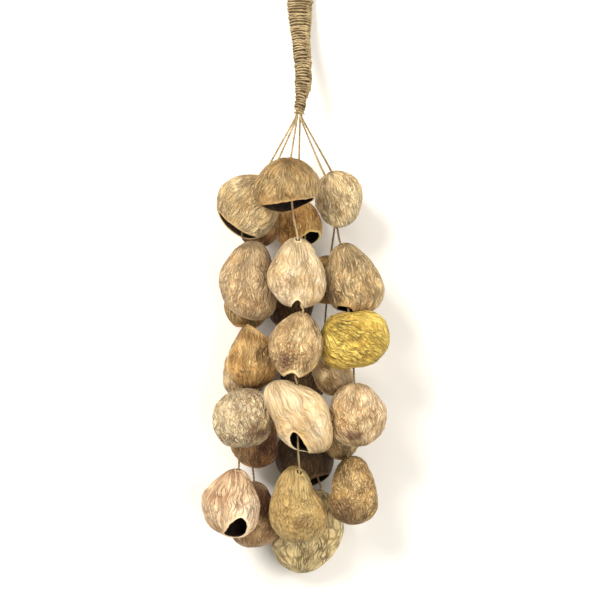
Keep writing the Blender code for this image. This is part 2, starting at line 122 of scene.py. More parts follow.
CENTRE = shells_of(
    "centre",
    ((-10.5, 82.5), 90, (24, 23, 25, 23, 19, 18, 25, 25), (16, 15), (82, 8), (277, 20, 66, 40, 6)),
    ((-3, 18), 90, (29.3, 21.8, 22.5, 22.8, 24, 26, 21.8, 22.3), (16, 15), (88, 14), (272, 2, 12, 30, 0)),
    ((-3, -33), 75, (24.8, 20.6, 20.6, 22, 25.9, 22.9, 20.6, 20.6), (17, 16),
     (78, 10), (262, 2, 13, 24, 0), (10, 3, 0.25)),
    ((0, -90), 135, (36, 20.6, 21.2, 23.5, 30, 22.5, 24, 26.3), (16, 15), (96, 8), (263, 28, 34, 15, -62)),
    ((-1.5, -157.5), 95, (33.4, 23.6, 21.8, 24.4, 25.1, 25.5, 20.6, 18.8), (16, 15),
     (88, 16), (270, -48, 24, 18, 0)),
)
LEFT = shells_of(
    "left",
    ((-38.2, 69), 50, (25, 24.4, 25.5, 23.6, 22.6, 24, 22.5, 22.5), (16, 15), (66, -6), (236, 11, 48, 19, 0)),
    ((-38.2, 12.8), 80, (31.5, 24.8, 22.5, 22.9, 27, 29, 20.3, 21.8), (17, 15),
     (82, -24), (252, -16, 30, 24, 0), (2, 5, 0.55)),
    ((-36.8, -43.5), 90, (26.3, 18, 18, 21.8, 23.6, 23, 18.8, 21), (16, 15),
     (266, -40), (66, -2, 28, 24, 0), (4, 4, 0.3)),
    ((-42.8, -87.8), 90, (21.4, 20.7, 22.1, 23.3, 22.1, 23.3, 21.8, 22.5), (17, 15),
     (86, -40), (258, -38, 26, 22, 0)),
    ((-51.8, -152.2), 75, (26.3, 21.8, 22.5, 23.3, 25, 27, 22.1, 20.6), (16, 15),
     (78, 8), (283, 28, 29, 18, 48), (5, 15, 0.5)),
)
RIGHT = shells_of(
    "right",
    ((30, 75.8), 125, (21, 17.6, 18, 21, 18.8, 16.1, 18, 19.9), (16, 15),
     (122, 4), (262, -28, 26, 22, 0), (190, 9, 0.5)),
    ((40.5, 14.2), 110, (29.6, 22.5, 22.3, 25.5, 26.3, 24, 19, 20.6), (17, 15),
     (110, 6), (253, 8, 19, 22, 0)),
    ((40.5, -30), 180, (25.5, 27, 20.3, 22.8, 26.3, 27, 20.6, 24.4), (16, 14),
     (100, -16), (268, -44, 28, 20, 0)),
    ((43.5, -87), 90, (24.4, 24.4, 21.4, 24.8, 23.3, 22.3, 21.8, 21.8), (16, 15),
     (96, 2), (262, -40, 26, 22, 0), (180, 8, 0.5)),
    ((40.5, -143.2), 90, (26.6, 20.3, 17.3, 24.4, 25.5, 23.3, 16.9, 19.1), (17, 16),
     (100, 8), (276, -44, 28, 22, 0)),
)
CENTRE_BACK = shells_of(
    "centre_back",
    ((-0.5, 59.2), 100, (19, 19, 19, 22, 20, 20, 16, 16), (15, 14), (92, 4), (302, 28, 26, 24, 0)),
    ((-7.5, -2.2), 90, (22, 19, 18, 19, 21, 19, 18, 19), (15, 14), (80, 4), (272, 4, 28, 22, 0)),
    ((2.2, -60), 90, (21, 19, 17, 19, 21, 19, 17, 19), (15, 14), (96, 4), (272, 4, 26, 20, 0)),
    ((3, -117.8), 90, (21, 22.5, 22.5, 23, 24, 24, 22.5, 21), (15, 14), (90, 4), (292, 10, 36, 20, 0)),
    ((6, -176.2), 72, (33.8, 27, 25.5, 29.6, 31.5, 26.6, 25.5, 30), (16, 14), (74, 4), (250, -46, 26, 18, 0)),
)
LEFT_BACK = shells_of(
    "left_back",
    ((-31, 57), 90, (18, 17, 15, 17, 17.5, 17, 15, 17), (14, 13), (84, 0), (262, -6, 28, 22, 0)),
    ((-40, -2), 90, (22, 18, 17, 19, 21, 19, 17, 18), (14, 13), (84, 0), (268, 0, 26, 20, 0)),
    ((-40.5, -54), 90, (20, 19, 17.5, 21.5, 21, 18, 16, 18), (14, 13), (90, 0), (276, 0, 26, 20, 0)),
    ((-35.2, -105), 90, (22.5, 21, 18, 19, 21.8, 22.5, 18, 21), (15, 13), (98, 0), (262, -10, 24, 20, 0)),
    ((-33.8, -162.8), 90, (26.3, 19.5, 18, 24, 24, 22.9, 15, 18.4), (14, 13), (92, 0), (262, -30, 24, 20, 0)),
)
RIGHT_BACK = shells_of(
    "right_back",
    ((29.5, 74), 90, (17, 16, 14.5, 16, 17.5, 16, 14.5, 16), (14, 13), (100, 4), (260, 0, 28, 20, 0)),
    ((21, 14.2), 90, (19.5, 18, 16, 17, 19, 17, 16, 18), (14, 13), (84, 0), (268, 0, 26, 20, 0)),
    ((24, -54), 110, (22, 17, 14.5, 17, 21, 18, 14.5, 16), (15, 13), (104, 0), (272, 0, 28, 20, 0)),
    ((30, -99.8), 90, (20, 17, 14, 17, 21, 18, 14.5, 16), (14, 13), (98, 0), (262, -10, 28, 20, 0)),
)
STRINGS = [LEFT, CENTRE, RIGHT, LEFT_BACK, CENTRE_BACK, RIGHT_BACK]
SHELLS = [shell for string in STRINGS for shell in string]

# Each cord: the string on its left, the string on its right, and its place in the bundle, outwards
# from the middle and upwards in mm, in a leg of the loop and in the neck
Cord = namedtuple("Cord", "name left right in_leg in_neck")
CORDS = [
    Cord("cord_middle", LEFT, RIGHT_BACK, (1.2, 0), (2.06, 0)),
    Cord("cord_upper", CENTRE, RIGHT, (-0.6, 1.04), (1.03, 1.78)),
    Cord("cord_lower", LEFT_BACK, CENTRE_BACK, (-0.6, -1.04), (1.03, -1.78)),
]
# The shell that hangs mouth upwards, with its knot below the hole that the string leaves by
UPSIDE_DOWN = [LEFT[2]]

# Dry seed coat colours: pale worn places and painted highlights, the coat, darker patches, painted shade in
# cracks
Coat = namedtuple("Coat", "light coat patch crack")
COAT_CODES = {
    "tan": "#F3DFB0 #D9B67C #C29A60 #6E4A24",
    "straw": "#F8E7BC #E2C58F #CDAA73 #76502B",
    "olive": "#E9D296 #C8A768 #AE8B4E #6C4F28",
    "cream": "#FCEFCF #F0D8A8 #DCBD84 #96693A",
    "ivory": "#FFF4DA #F3DEB2 #DFC38C #986E3F",
    "peach": "#F8E0B4 #E3BC84 #CD9F69 #7F5230",
    "pink": "#FAEBCF #EBD0A8 #D9B48A #8A6040",
    "golden": "#F2D8A0 #D8AD6C #BE9052 #75501F",
    "yellow": "#F8E27E #E2BC4C #CC9F38 #8C6420",
    "lime": "#EADBAC #D6C08A #C4AB76 #4E3A20",
    "rust": "#E9C48C #C4935A #9F6C3A #55331A",
    # Umber is for the shells deep in the bunch: partly their own dark brown, partly painted shade
    "umber": "#A5804C #7C5729 #593C18 #241404",
}
COATS = {name: Coat(*codes.split()) for name, codes in COAT_CODES.items()}

# How each shell looks, in the order of SHELLS.
#   coat:    its colours
#   light:   how light it is beside other shells of that coat: partly its own tone, partly painted light
#            and shade, raised where it lies in the shade of others and lowered deep in the bunch
#   grain:   plan angle and lift of the pole that its grain runs from
#   cracks:  how many fields lie round it and from pole to pole, and how deep the cracks between them
#            are in mm, or less than 0 where the fields are parted by a raised net
#   lines:   how strong the thin lines between the fields are, sunk and painted dark as shade, and the finer
#            wrinkles, which are sunk and painted in shade, or raised with a painted highlight where below 0
#   rings:   plan angle, lift, and depth in mm of growth rings round a place, or None
#   stain:   plan angle, lift, spread in degrees and strength of a darker stain, or None; on the second
#            left shell it is painted shade beyond its keel
Look = namedtuple("Look", "coat light grain cracks lines rings stain", defaults=(
    (90, 0), (40, 6, 0.5), (0.7, 0.8), None, None))
LOOK_ROWS = [
    # left
    ("tan", 0.9, (52, 0), (46, 4, -0.4), (0.6, -1.7)),
    # Its darker patch beyond its keel is painted shade
    ("peach", 0.83, (86, 10), (44, 5, -0.3), (0.7, -1.5), None, (355, 18, 34, 0.8)),
    ("golden", 1.22, (90, 0), (40, 5, 0.5), (0.7, 0.9), None, (20, 40, 34, 0.4)),
    ("cream", 0.82, (95, 0), (34, 7, -0.6), (0.9, -1.2), (95, 60, 0.6), (318, 38, 20, 0.8)),
    ("pink", 1.05, (84, 0), (40, 4, 0.5), (0.8, 0.4)),
    # centre
    ("golden", 0.73, (88, 20), (44, 4, 0.35), (0.7, -1.1)),
    ("ivory", 0.98, (90, 10), (36, 5, 0.25), (0.6, 0.6), (200, 60, 0.3), (250, 62, 16, 0.35)),
    ("straw", 1.26, (80, 5), (34, 5, 0.4), (0.6, 1.1), (240, 48, 0.8), (238, 46, 18, 0.8)),
    ("cream", 0.94, (120, 0), (26, 4, 0.25), (0.4, 0.45), None, (235, 55, 18, 0.25)),
    ("olive", 0.98, (92, 5), (30, 6, 0.4), (0.5, -0.8), (280, 58, 0.6), (285, 56, 20, 0.5)),
    # right
    ("straw", 1.23, (110, 10), (34, 4, -0.6), (0.7, -1.8), None, (200, 40, 25, 0.35)),
    ("tan", 0.94, (100, 5), (38, 4, -0.5), (0.7, -1.7), None, (200, 30, 26, 0.35)),
    ("yellow", 0.97, (150, 10), (30, 4, -0.5), (0.8, -1.8)),
    ("cream", 1.1, (95, 0), (34, 6, 0.5), (0.8, 0.9), None, (250, 40, 14, 0.8)),
    ("golden", 1.06, (95, 0), (40, 9, 0.5), (0.9, -1.7), None, (245, 30, 36, 0.6)),
    # left, behind
    ("rust", 1.0),
    ("golden", 1.0),
    ("cream", 1.0, (90, 0), (40, 5, 0.5)),
    ("rust", 1.08, (90, 0), (34, 7, 0.6), (0.7, 0.8), None, (330, 50, 45, 0.9)),
    ("peach", 0.98, (90, 0), (36, 9, 0.6), (0.8, 0.8), None, (60, 45, 45, 0.85)),
    # centre, behind
    # Painted light: far lighter than its coat, as it lies in the shade of its neighbours
    ("golden", 1.8, (95, 0), (36, 4, 0.5), (0.7, 0.9), None, (160, 60, 30, 0.6)),
    # Deep in the bunch: dark coat and low lightness, partly their own brown and partly painted shade
    ("umber", 0.8, (90, 0), (36, 5, 0.5)),
    ("umber", 0.8, (90, 0), (36, 5, 0.5)),
    ("umber", 0.6, (90, 0), (44, 4, 0.4)),
    # Painted light: lighter, as it lies in the shade of the shell in front of it
    ("lime", 1.38, (82, 0), (40, 8, 0.25), (0.95, 0.4)),
    # right, behind
    ("tan", 1.0),
    ("golden", 1.0),
    # Painted light: lighter, as it lies in the shade of the shells above it
    ("cream", 1.4, (125, 0), (60, 2, 0.4), (0.9, 1.0)),
    ("tan", 1.0, (90, 0), (36, 6, 0.5)),
]
LOOKS = [Look(*row) for row in LOOK_ROWS]
# The shells that show in front, and two behind of which much shows
FINELY_MADE = [*CENTRE, *LEFT, *RIGHT, CENTRE_BACK[0], CENTRE_BACK[4]]


def direction(plan, lift):
    """The unit vector at a plan angle and a lift above the plan, in degrees."""
    a, b = math.radians(plan), math.radians(lift)
    return np.array([math.cos(a) * math.cos(b), math.sin(a) * math.cos(b), math.sin(b)])


def unit(ways):
    """A way, or each of a row of ways, at length 1."""
    return ways / (np.linalg.norm(ways) if ways.ndim == 1 else np.linalg.norm(ways, axis=1)[:, None])


def turned(points, axis, angles):
    """Points turned about an axis through the origin, each by its own angle."""
    c, s = np.cos(angles)[..., None], np.sin(angles)[..., None]
    along = (points @ axis)[..., None] * axis
    return points * c + np.cross(axis, points) * s + along * (1 - c)


def smoothstep(x, low=0.0, high=1.0):
    x = np.clip((x - low) / (high - low), 0, 1)
    return x * x * (3 - 2 * x)


def waves(points, seed, length, count=14):
    """Smooth noise from -1 to 1 in space: a sum of random waves of about this length."""
    rng = np.random.default_rng(seed)
    ways = unit(rng.normal(size=(count, 3)))
    ways = ways * (2 * math.pi / length * rng.uniform(0.6, 1.5, count))[:, None]
    starts = rng.uniform(0, 2 * math.pi, count)
    return np.sin(points @ ways.T + starts).sum(axis=-1) * math.sqrt(2 / count) / 2


def curve(a, b, c, d, t):
    """A smooth curve through four values, at the share t of the way from the second to the third."""
    return b + 0.5 * t * (c - a + t * (2 * a - 5 * b + 4 * c - d + t * (3 * (b - c) + d - a)))


def reach_at(shell, plan):
    """The outline's reach at these plan angles in radians: a closed cubic through its eight values."""
    step = (plan - math.radians(shell.tip)) / (math.pi / 4)
    at = np.floor(step).astype(int)
    return curve(*(np.take(shell.reach, (at + k) % 8) for k in (-1, 0, 1, 2)), step - at)


def surface(shell, ways):
    """Points of the shell's surface in these directions from its middle, in mm."""
    flat = np.hypot(ways[..., 0], ways[..., 1])
    plan = np.arctan2(ways[..., 1], ways[..., 0])
    depth = np.where(ways[..., 2] > 0, *shell.depth)
    far = ((flat / reach_at(shell, plan)) ** PILLOW + (abs(ways[..., 2]) / depth) ** PILLOW) ** (-1 / PILLOW)
    points = ways * far[..., None]
    normal, offset, fall = shell.ridge
    beyond = np.clip(points @ direction(normal, 0) - offset, 0, None) / np.mean(shell.reach)
    points[..., 2] *= np.where(points[..., 2] > 0, 1 - fall * beyond, 1)
    return points


def ring_ways(shell, segments, shares, ragged=0.0):
    """Directions on rings from the hole to the mouth, at these shares of the way, with a ragged mouth."""
    hole, mouth = direction(*shell.hole), direction(*shell.mouth[:2])
    axis = np.cross(-hole, mouth)
    bend = math.atan2(np.linalg.norm(axis), float(-hole @ mouth))
    axis = axis / max(np.linalg.norm(axis), 1e-9)
    level = unit(np.cross((0, 0, 1), mouth))
    upright = np.cross(mouth, level)
    u, v = turned(np.array([level, upright]), axis, np.full(2, -bend))
    round_ = np.arange(segments) * 2 * math.pi / segments
    along, across, roll = (math.radians(x) for x in shell.mouth[2:])
    wide = along * across / np.hypot(across * np.cos(round_ - roll), along * np.sin(round_ - roll))
    edge = np.column_stack([np.cos(round_), np.sin(round_), np.full(segments, shell.centre[0])])
    wide = wide * (1 + ragged * (waves(edge, 5, 1.2) + 0.6 * waves(edge, 6, 0.35)))
    start = HOLE_RADIUS / float(np.linalg.norm(surface(shell, hole[None])))
    polar = start + np.asarray(shares)[:, None] * (math.pi - wide - start)[None]
    ways = np.cos(polar)[..., None] * hole + np.sin(polar)[..., None] * (
        np.cos(round_)[:, None] * u + np.sin(round_)[:, None] * v
    )
    return turned(ways, axis, bend * smoothstep(polar / math.pi))


def grid_faces(rings, segments, closed=False):
    """Quads between so many rings of points, and from the last ring to the first where closed."""
    i, j = np.meshgrid(np.arange(rings if closed else rings - 1), np.arange(segments), indexing="ij")
    k, b = (j + 1) % segments, (i + 1) % rings * segments
    a = i * segments
    return np.stack([a + j, a + k, b + k, b + j], axis=-1).reshape(-1, 4)


def grain_places(ways, pole, around, along, seed, sway):
    """Where each direction lies on a drum that has one unit to each field, its axis along the pole."""
    pole = direction(*pole)
    side = unit(np.cross(pole, (0.31, 0.17, 0.93)))
    polar = np.arccos(np.clip(ways @ pole, -1, 1))
    turn = np.arctan2(ways @ np.cross(pole, side), ways @ side)
    polar = polar + sway * waves(ways, seed, 1.1)
    turn = turn + 1.6 * sway * waves(ways, seed + 1, 0.8)
    radius = around / (2 * math.pi)
    return np.stack([radius * np.cos(turn), radius * np.sin(turn), along * polar / math.pi], axis=-1)


def cracks(places, around, along, seed, width):
    """How much each place lies in a crack between the fields of a drum, from 0 to 1."""
    rng = np.random.default_rng(seed)
    rows, columns = np.meshgrid(np.arange(-1, along + 1), np.arange(around), indexing="ij")
    turn = (columns + 0.5 * (rows % 2) + rng.uniform(-0.42, 0.42, rows.shape)) * 2 * math.pi / around
    up = rows + 0.5 + rng.uniform(-0.45, 0.45, rows.shape)
    radius = around / (2 * math.pi)
    seeds = np.stack([radius * np.cos(turn), radius * np.sin(turn), up], axis=-1)
    flat, seeds = (at.reshape(-1, 3).astype(np.float32) for at in (places, seeds))
    nearest = np.empty((len(flat), 2), np.float32)
    batch = 6000
    for start in range(0, len(flat), batch):
        part = flat[start:start + batch]
        square = (part**2).sum(1)[:, None] + (seeds**2).sum(1)[None] - 2 * part @ seeds.T
        nearest[start:start + batch] = np.partition(square, 1, axis=1)[:, :2]
    nearest = np.sqrt(np.clip(np.sort(nearest, axis=1), 0, None))
    border = (nearest[:, 1] - nearest[:, 0]).reshape(places.shape[:-1])
    return 1 - smoothstep(border, 0, width)


def angle_from(ways, plan, lift):
    """The angle in degrees between each direction and one of these."""
    return np.degrees(np.arccos(np.clip(ways @ direction(plan, lift), -1, 1)))


def coat_relief(shell, look, ways, points, seed, lump_height):
    """How far the coat stands out each way in mm, its painted shade in cracks and low places, its darker
    patch, and its place in the grain.
    """
    around, along, deep = look.cracks
    places = grain_places(ways, look.grain, around, along, seed, sway=0.07)
    fade = 0.6 + 0.4 * waves(ways, seed + 2, length=1.0)
    main = cracks(places, around, along, seed + 3, width=0.45) * fade
    coarse = around // 2, max(along // 2, 2)
    low = grain_places(ways, look.grain, *coarse, seed + 4, sway=0.1)
    wide = cracks(low, *coarse, seed + 5, width=0.32)
    relief = -deep * (main + wide)
    # Painted shade: darker in the cracks, and where a raised net parts the fields, in the low floors between
    # its ridges
    painted_shade = np.clip(0.8 * main + 0.7 * wide, 0, 1)
    if deep < 0:
        painted_shade = 0.35 * (1 - painted_shade) ** 2
    if look.rings:
        plan, lift, ring_deep = look.rings
        near = 1 - smoothstep(angle_from(ways, plan, lift), 30, 62)
        arcs = 9, 26
        ring_places = grain_places(ways, (plan, lift), *arcs, seed + 6, sway=0.07)
        ring = cracks(ring_places, *arcs, seed + 7, width=0.5)
        relief = relief * (1 - 0.7 * near) - ring_deep * 1.6 * ring * near
        # Painted shade in the sunk rings
        painted_shade = painted_shade * (1 - 0.7 * near) + 0.8 * ring * near
    relief += lump_height * waves(points, seed + 8, length=17.0)
    # A darker patch round a place: a stain, and on one shell painted shade
    stain = np.zeros(relief.shape)
    if look.stain:
        plan, lift, spread, strength = look.stain
        wander = angle_from(ways, plan, lift) + 9 * waves(ways, seed + 9, length=0.5)
        stain = strength * (1 - smoothstep(wander, 0.2 * spread, 1.6 * spread))
    return relief, painted_shade, stain, places


def srgb(code):
    """An sRGB hex colour as Blender's linear RGBA."""
    parts = [int(code[i:i + 2], 16) / 255 for i in (1, 3, 5)]
    return (*(p / 12.92 if p <= 0.04045 else ((p + 0.055) / 1.055) ** 2.4 for p in parts), 1.0)


def node(tree, kind, out=0, **given):
    """Adds a shader node, or takes one that is there, fills it in, and returns one of its outputs.

    Lower-case keys are its settings, and stops are its colour ramp's (place, hex colour). Other keys name an
    input, with _ for a space, or number it as in in_0, and take a socket, a value or a hex colour.
    """
    made = kind if isinstance(kind, bpy.types.Node) else tree.nodes.new("ShaderNode" + kind)
    for key, value in given.items():
        if key == "stops":
            elements = made.color_ramp.elements
            for _ in value[2:]:
                elements.new(0.5)
            for element, (place, colour) in zip(elements, value):
                element.position = place
                element.color = srgb(colour)
        elif hasattr(made, key):
            setattr(made, key, value)
        else:
            socket = made.inputs[int(key[3:]) if key.startswith("in_") else key.replace("_", " ")]
            if isinstance(value, bpy.types.NodeSocket):
                tree.links.new(value, socket)
            else:
                socket.default_value = srgb(value) if isinstance(value, str) else value
    return made.outputs[out]


def new_material(name, roughness):
    """A material with only its shader and output: itself, its nodes, and its shader of this roughness."""
    material = bpy.data.materials.new(name)
    material.use_nodes = True
    tree = material.node_tree
    shader = tree.nodes["Principled BSDF"]
    node(tree, shader, Roughness=roughness, IOR=1.45)
    return material, tree, shader


def seed_coat(coat, name, settings):
    """Dried seed coat: woody, sun dried and handled, so it is dull and creased, with some wax where worn.

    Its fields, the unit of its grain, are 3 to 6 mm across and make it look leathery. Its patches are 20 mm
    across and its worn places 5 mm, so no side is of one colour. Its fibres are drawn 1 mm wide, as finer
    ones would not show.
    """
    material, tree, shader = new_material(f"dried seed coat, {name}", 0.6)
    where = node(tree, "TexCoord", "Object")
    grain, light = (node(tree, "Attribute", "Vector", attribute_name=key) for key in ("grain", "light"))
    crack, stain, lines, wrinkles = (
        node(tree, "Attribute", "Fac", attribute_name=key) for key in ("crack", "stain", "lines", "wrinkles"))
    # The grain as it is, swayed by a wide noise, and curled by a narrow one too
    bent = [grain]
    for scale, detail, far in ((0.8, 2.0, 0.7), (2.2, 1.0, 0.5)):
        noise = node(tree, "TexNoise", "Color", Vector=grain, Scale=scale, Detail=detail)
        bent.append(node(tree, "VectorMath", "Vector", operation="MULTIPLY_ADD",
                         in_0=noise, in_1=(far, far, far), in_2=bent[-1]))
    swayed, curled = bent[1:]
    field, half_field = (
        node(tree, "TexVoronoi", "Distance", feature="DISTANCE_TO_EDGE", Vector=curled, Scale=scale)
        for scale in (1.0, 2.1)
    )
    patch, worn, fibre, flow = (
        node(tree, "TexNoise", "Fac", Vector=place, Scale=scale, Detail=detail, Roughness=rough)
        for place, scale, detail, rough in (
            (where, 1 / (20 * MM), 3.0, 0.5), (where, 1 / (5 * MM), 4.0, 0.5),
            (swayed, 3.0, 6.0, 0.7), (swayed, 1.7, 1.0, 0.5))
    )
    flow = node(tree, "Math", "Value", operation="SUBTRACT", in_0=flow, in_1=0.5)
    flow = node(tree, "Math", "Value", operation="ABSOLUTE", in_0=flow)
    # Where each mark shows: what it follows, where it starts and where it is full, and how strong it is
    flow, line, finest, ridge, rubbed, dry = (
        node(tree, "MapRange", "Result", Value=followed, From_Min=start, From_Max=full, To_Max=most)
        for followed, start, full, most in (
            (flow, 0.07, 0.015, 1.0), (field, 0.15, 0.03, 1.0), (half_field, 0.2, 0.05, 0.8),
            (half_field, 0.1, 0.4, 1.0), (worn, 0.5, 0.7, 1.0), (fibre, 0.5, 0.35, 1.0))
    )
    wrinkle = node(tree, "Math", "Value", operation="MAXIMUM", in_0=finest, in_1=flow)
    line, wrinkle, ridge = (
        node(tree, "Math", "Value", operation="MULTIPLY", in_0=mark, in_1=strength)
        for mark, strength in ((line, lines), (wrinkle, wrinkles), (ridge, wrinkles))
    )
    body = node(tree, "ValToRGB", "Color", Fac=patch,
                stops=[(0.3, coat.patch), (0.5, coat.coat), (0.85, coat.light)])
    # Worn places, darker fibres, painted highlight on high field middles and raised wrinkles, painted shade
    # in grooves
    layers = [
        (rubbed, 0.3, coat.light), (dry, 0.3, coat.patch), (ridge, 0.35, coat.light),
        (wrinkle, -0.35, coat.light), (wrinkle, settings.wrinkle_painted_shade, coat.crack),
        (line, settings.line_painted_shade, coat.crack), (crack, settings.crack_painted_shade, coat.crack),
    ]
    for mark, strength, colour in layers:
        share = node(tree, "Math", "Value", operation="MULTIPLY", in_0=mark, in_1=strength)
        body = node(tree, "Mix", 2, data_type="RGBA", clamp_result=True, in_0=share, in_6=body, in_7=colour)
    # Multiplies in the stains, which on one shell are painted shade, and each shell's lightness, partly
    # painted light and shade
    for share, colour in ((stain, settings.stain_and_shade_code), (1.0, light)):
        body = node(tree, "Mix", 2, data_type="RGBA", blend_type="MULTIPLY", clamp_result=True,
                    in_0=share, in_6=body, in_7=colour)
    height = 0.0
    for mark, rise in ((fibre, 0.4), (ridge, 0.5), (wrinkle, -0.6), (line, -0.9)):
        height = node(tree, "Math", "Value", operation="MULTIPLY_ADD", in_0=mark, in_1=rise, in_2=height)
    bump = node(tree, "Bump", "Normal", Height=height, Strength=1.0, Distance=settings.wrinkle_height * MM)
    rough = node(tree, "MapRange", "Result", Value=worn, To_Min=0.55, To_Max=0.8)
    node(tree, shader, Base_Color=body, Normal=bump, Roughness=rough)
    return material


def hollow_inside(settings):
    """The coat's bare inside, painted near black as shade, in specks of 3 mm, so a mouth looks deep."""
    material, tree, shader = new_material("charred seed coat inside", 0.85)
    where = node(tree, "TexCoord", "Object")
    speckle = node(tree, "TexNoise", "Fac", Vector=where, Scale=1 / (3 * MM), Detail=4.0)
    colour = node(tree, "ValToRGB", "Color", Fac=speckle, stops=[(0.4, settings.inside_code), (0.7, "#3A2513")])
    bump = node(tree, "Bump", "Normal", Height=speckle, Strength=0.5, Distance=0.3 * MM)
    node(tree, shader, Base_Color=colour, Normal=bump)
    return material


def plant_twine(name, pale, dark, deep):
    """Two-ply twine of a stiff plant fibre, twisted by hand: matt, pale along each ply and painted brown
    between as shade.

    Its colour changes every 6 mm or so. The fibres are drawn 0.3 mm wide, as finer ones would not show.
    """
    material, tree, shader = new_material(name, 0.75)
    where = node(tree, "TexCoord", "Object")
    strand = node(tree, "Attribute", "Vector", attribute_name="grain")
    ply_groove_shade, soil = (node(tree, "Attribute", "Fac", attribute_name=key) for key in ("ply", "soil"))
    tint = node(tree, "TexNoise", "Fac", Vector=where, Scale=1 / (6 * MM), Detail=3.0)
    fibre = node(tree, "TexNoise", "Fac", Vector=strand, Scale=1.0, Detail=4.0, Roughness=0.7)
    bright, dull = (
        node(tree, "MapRange", "Result", Value=fibre, From_Min=start, From_Max=full, To_Max=most)
        for start, full, most in ((0.48, 0.66, 0.7), (0.46, 0.3, 0.6))
    )
    # Darker where the strings hang at the sides, below the top shells
    side_darkened = node(tree, "Math", "Value", operation="MULTIPLY", in_0=soil, in_1=0.6)
    body = node(tree, "ValToRGB", "Color", Fac=tint, stops=[(0.38, dark), (0.62, pale)])
    # Pale fibres, darker fibres, darker low at the sides, and painted shade between the plies and on the
    # handle's core
    for share, colour in ((bright, "#F0E0B8"), (dull, deep), (side_darkened, deep), (ply_groove_shade, deep)):
        body = node(tree, "Mix", 2, data_type="RGBA", clamp_result=True, in_0=share, in_6=body, in_7=colour)
    bump = node(tree, "Bump", "Normal", Height=fibre, Strength=1.0, Distance=0.3 * MM)
    node(tree, shader, Base_Color=body, Normal=bump)
    return material


def add_object(name, data):
    """A new object of this data in the scene."""
    obj = bpy.data.objects.new(name, data)
    bpy.context.scene.collection.objects.link(obj)
    return obj


def add_piece(name, points, faces, materials, replaced, attributes, face_slots=None):
    """Makes a smooth mesh that rides on the body and stands for a solid, from points in mm."""
    mesh = bpy.data.meshes.new(name)
    mesh.vertices.add(len(points))
    metres = (points - (*MIDDLE, 0)) * MM
    mesh.vertices.foreach_set("co", metres.astype(np.float32).ravel())
    sizes = np.array([len(f) for f in faces])
    mesh.loops.add(int(sizes.sum()))
    mesh.loops.foreach_set("vertex_index", np.concatenate([np.ravel(f) for f in faces]).astype(np.int32))
    mesh.polygons.add(len(faces))
    mesh.polygons.foreach_set("loop_start", np.concatenate([[0], np.cumsum(sizes)[:-1]]).astype(np.int32))
    for material in materials:
        mesh.materials.append(material)
    if face_slots is not None:
        mesh.polygons.foreach_set("material_index", np.asarray(face_slots, np.int32))
    for key, values in attributes.items():
        values = np.asarray(values, np.float32)
        kind, field = ("FLOAT", "value") if values.ndim == 1 else ("FLOAT_VECTOR", "vector")
        mesh.attributes.new(key, kind, "POINT").data.foreach_set(field, values.ravel())
    mesh.update(calc_edges=True)
    mesh.shade_smooth()
    obj = add_object(name, mesh)
    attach(obj, "root")
    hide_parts(replaced)


def middle_of(shell):
    """The middle of a shell where it lies, in mm: its form's box set on the solid's."""
    low, high = (np.array(corner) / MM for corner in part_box(shell.name))
    form = surface(shell, ring_ways(shell, 48, np.linspace(0, 1, 24))).reshape(-1, 3)
    return (low + high) / 2 + (*MIDDLE, 0) - (form.min(axis=0) + form.max(axis=0)) / 2


def in_mm(name, description, default, least=0.0):
    """A setting that is a length in millimetres."""
    return FloatProperty(name=name, description=description + ", in mm", default=default, min=least)


def factor(name, description, default):
    """A setting from 0 to 1."""
    return FloatProperty(name=name, description=description, default=default, subtype="FACTOR", min=0, max=1)


def hex_code(name, description, default):
    """A setting that is an sRGB colour."""
    return StringProperty(name=name, description=description + ", as sRGB hex", default=default)


class ShellSettings(bpy.types.PropertyGroup):
    segments: IntProperty(name="Segments", description="Faces round a front shell", default=192, min=24)
    rings: IntProperty(name="Rings", description="Faces from a front shell's hole to its mouth", default=88)
    lip: in_mm("Lip", "Thickness of the wall at the mouth", 1.5, 0.5)
    ragged: factor("Ragged", "How ragged the mouths were cut, as a share of their width", 0.05)
    lump_height: in_mm("Lump height", "How far the low lumps of the coat stand out", 0.45)
    crack_depth: FloatProperty(
        name="Crack depth", description="The cracks' depth as a multiple of each shell's own", default=1.0)
    # How dark the painted shade is in the cracks, in the lines between the fields and in the sunk wrinkles
    crack_painted_shade: factor("Crack dirt", "How dark the cracks are", 0.35)
    line_painted_shade: factor("Line dirt", "How dark the thin lines between the fields are", 0.8)
    wrinkle_painted_shade: factor("Wrinkle dirt", "How dark the fine wrinkles are", 0.8)
    wrinkle_height: in_mm("Wrinkle height", "How far the fine wrinkles stand out", 1.6)
    # The colour of the stains, and of the painted shade beyond one shell's keel
    stain_and_shade_code: hex_code("Stain", "Colour of the smoke stains", "#7C5A52")
    # The inside's colour is painted shade, near black so that a mouth looks deep
    inside_code: hex_code("Inside", "Colour of the shade_painted inside", "#150C06")


class TwineSettings(bpy.types.PropertyGroup):
    sides: IntProperty(name="Sides", description="Faces round a twine", default=8, min=6)
    step: in_mm("Step", "Spacing of the rings along a twine", 0.85, 0.3)
    lay: in_mm("Lay", "Length of one turn of the two plies", 4.6, 1)
    turn_lay: in_mm("Turn lay", "Length of one turn of the plies in the handle's twine", 6.6, 1)
    turn_pitch: in_mm("Turn pitch", "Spacing of the handle's turns", 2.1, 1)
    turn_radius: in_mm("Turn radius", "Radius of the handle's twine", 0.66, 0.4)
    turn_sway: in_mm("Turn sway", "How far the handle's turns lean and stray", 0.95)
    turn_wobble: in_mm("Turn wobble", "How far the handle's twine wobbles within a turn", 0.42)
    pale: hex_code("Pale", "Colour of the pale fibres", "#C9B081")
    dark: hex_code("Dark", "Colour of the darker fibres", "#7F6638")
    # Painted shade between the plies and on the core between the turns, and the darker fibres
    deep: hex_code("Deep", "Colour between the plies", "#3E2C12")


